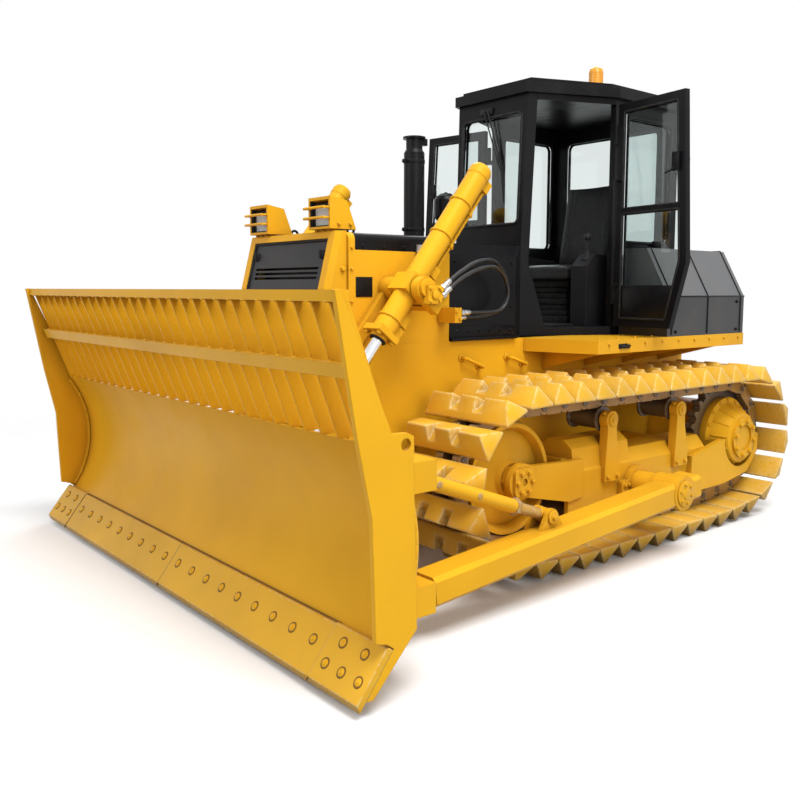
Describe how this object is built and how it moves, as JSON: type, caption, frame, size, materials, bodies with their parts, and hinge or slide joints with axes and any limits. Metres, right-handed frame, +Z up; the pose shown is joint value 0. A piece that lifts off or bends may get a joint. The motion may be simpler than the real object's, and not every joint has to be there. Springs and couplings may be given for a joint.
{
  "type": "bulldozer",
  "caption": "Crawler bulldozer with a six-sided cab, open side doors, and a wide straight blade with a slatted rack, raised by two rams.",
  "frame": {"origin": "on the ground under the middle of the whole length, on the centre line", "axes": "+X forward towards the blade, +Y to the machine's left, +Z up"},
  "size_m": [4.6998, 3.696, 3.402],
  "materials": {
    "yellow_paint": "semi-gloss machine yellow",
    "black_paint": "satin black",
    "glass": "clear safety glass",
    "worn_steel": "painted steel worn bright on its edges",
    "rod_chrome": "hard chrome",
    "cast_iron": "dark oiled casting",
    "core_black": "matt black fins",
    "grille_grey": "dark grey satin",
    "lamp_lens": "clear moulded lens",
    "seat_vinyl": "black vinyl",
    "control_plastic": "dark moulded plastic",
    "hose_rubber": "matt black rubber",
    "amber": "amber moulded lens"
  },
  "bodies": {
    "root": {"main_frame": "yellow_paint", "engine_block": "cast_iron", "radiator_core": "core_black", "radiator_guard": "yellow_paint", "radiator_grille": "grille_grey", "hood_top": "black_paint", "hood_sides": "yellow_paint", "lamp_housings": "yellow_paint", "lamp_lenses": "lamp_lens", "exhaust_stack": "black_paint", "air_precleaner": "black_paint", "cowl": "black_paint", "fenders": "yellow_paint", "side_tanks": "black_paint", "rear_tank": "black_paint", "rear_case": "yellow_paint", "cab_floor": "black_paint", "cab_front_wall": "black_paint", "cab_side_left": "black_paint", "cab_side_right": "black_paint", "cab_rear_wall": "black_paint", "cab_roof": "black_paint", "cab_glass": "glass", "seat": "seat_vinyl", "cab_controls": "control_plastic", "beacon_base": "control_plastic", "beacon_lens": "amber", "ram_yokes": "yellow_paint", "hose_brackets": "yellow_paint", "hose_left_long": "hose_rubber", "hose_left_short": "hose_rubber", "hose_right_long": "hose_rubber", "hose_right_short": "hose_rubber", "track_frame_left": "yellow_paint", "track_frame_right": "yellow_paint", "track_left": "worn_steel", "track_right": "worn_steel", "idlers": "yellow_paint", "sprockets": "worn_steel", "final_drives": "yellow_paint", "track_rollers": "cast_iron", "carrier_rollers": "cast_iron"},
    "blade": {"moldboard": "yellow_paint", "blade_rack": "yellow_paint", "cutting_edges": "worn_steel", "push_arms": "yellow_paint", "braces": "yellow_paint"},
    "ram_left_barrel": {"ram_barrel_left": "yellow_paint"},
    "ram_left_rod": {"ram_rod_left": "rod_chrome"},
    "ram_right_barrel": {"ram_barrel_right": "yellow_paint"},
    "ram_right_rod": {"ram_rod_right": "rod_chrome"},
    "door_left": {"door_left": "black_paint", "door_left_glass": "glass"},
    "door_right": {"door_right": "black_paint", "door_right_glass": "glass"}
  },
  "joints": [
    {"name": "blade_lift", "type": "hinge", "parent": "root", "child": "blade", "pos_m": [-0.5478, 0, 0.415], "axis": [0, -1, 0], "range_deg": [-8, 18]},
    {"name": "ram_left_swing", "type": "hinge", "parent": "root", "child": "ram_left_barrel", "pos_m": [1.0302, 0.7, 1.675], "axis": [0, -1, 0], "range_deg": [-9.64, 21.57]},
    {"name": "ram_left_slide", "type": "slide", "parent": "ram_left_barrel", "child": "ram_left_rod", "axis": [0.6242, 0, -0.7813], "range_m": [-0.6228, 0.2779]},
    {"name": "ram_right_swing", "type": "hinge", "parent": "root", "child": "ram_right_barrel", "pos_m": [1.0302, -0.7, 1.675], "axis": [0, -1, 0], "range_deg": [-9.64, 21.57]},
    {"name": "ram_right_slide", "type": "slide", "parent": "ram_right_barrel", "child": "ram_right_rod", "axis": [0.6242, 0, -0.7813], "range_m": [-0.6228, 0.2779]},
    {"name": "door_left_swing", "type": "hinge", "parent": "root", "child": "door_left", "pos_m": [-0.9168, 0.626, 1.65], "axis": [0, 0, -1], "range_deg": [0, 104]},
    {"name": "door_right_swing", "type": "hinge", "parent": "root", "child": "door_right", "pos_m": [-0.9168, -0.626, 1.65], "axis": [0, 0, 1], "range_deg": [0, 104]}
  ],
  "couplings": [
    {"joint": "ram_left_swing", "follows": "blade_lift", "ratio": 1.1928},
    {"joint": "ram_left_slide", "follows": "blade_lift", "m_per_rad": -1.9761},
    {"joint": "ram_right_swing", "follows": "blade_lift", "ratio": 1.1928},
    {"joint": "ram_right_slide", "follows": "blade_lift", "m_per_rad": -1.9761}
  ]
}
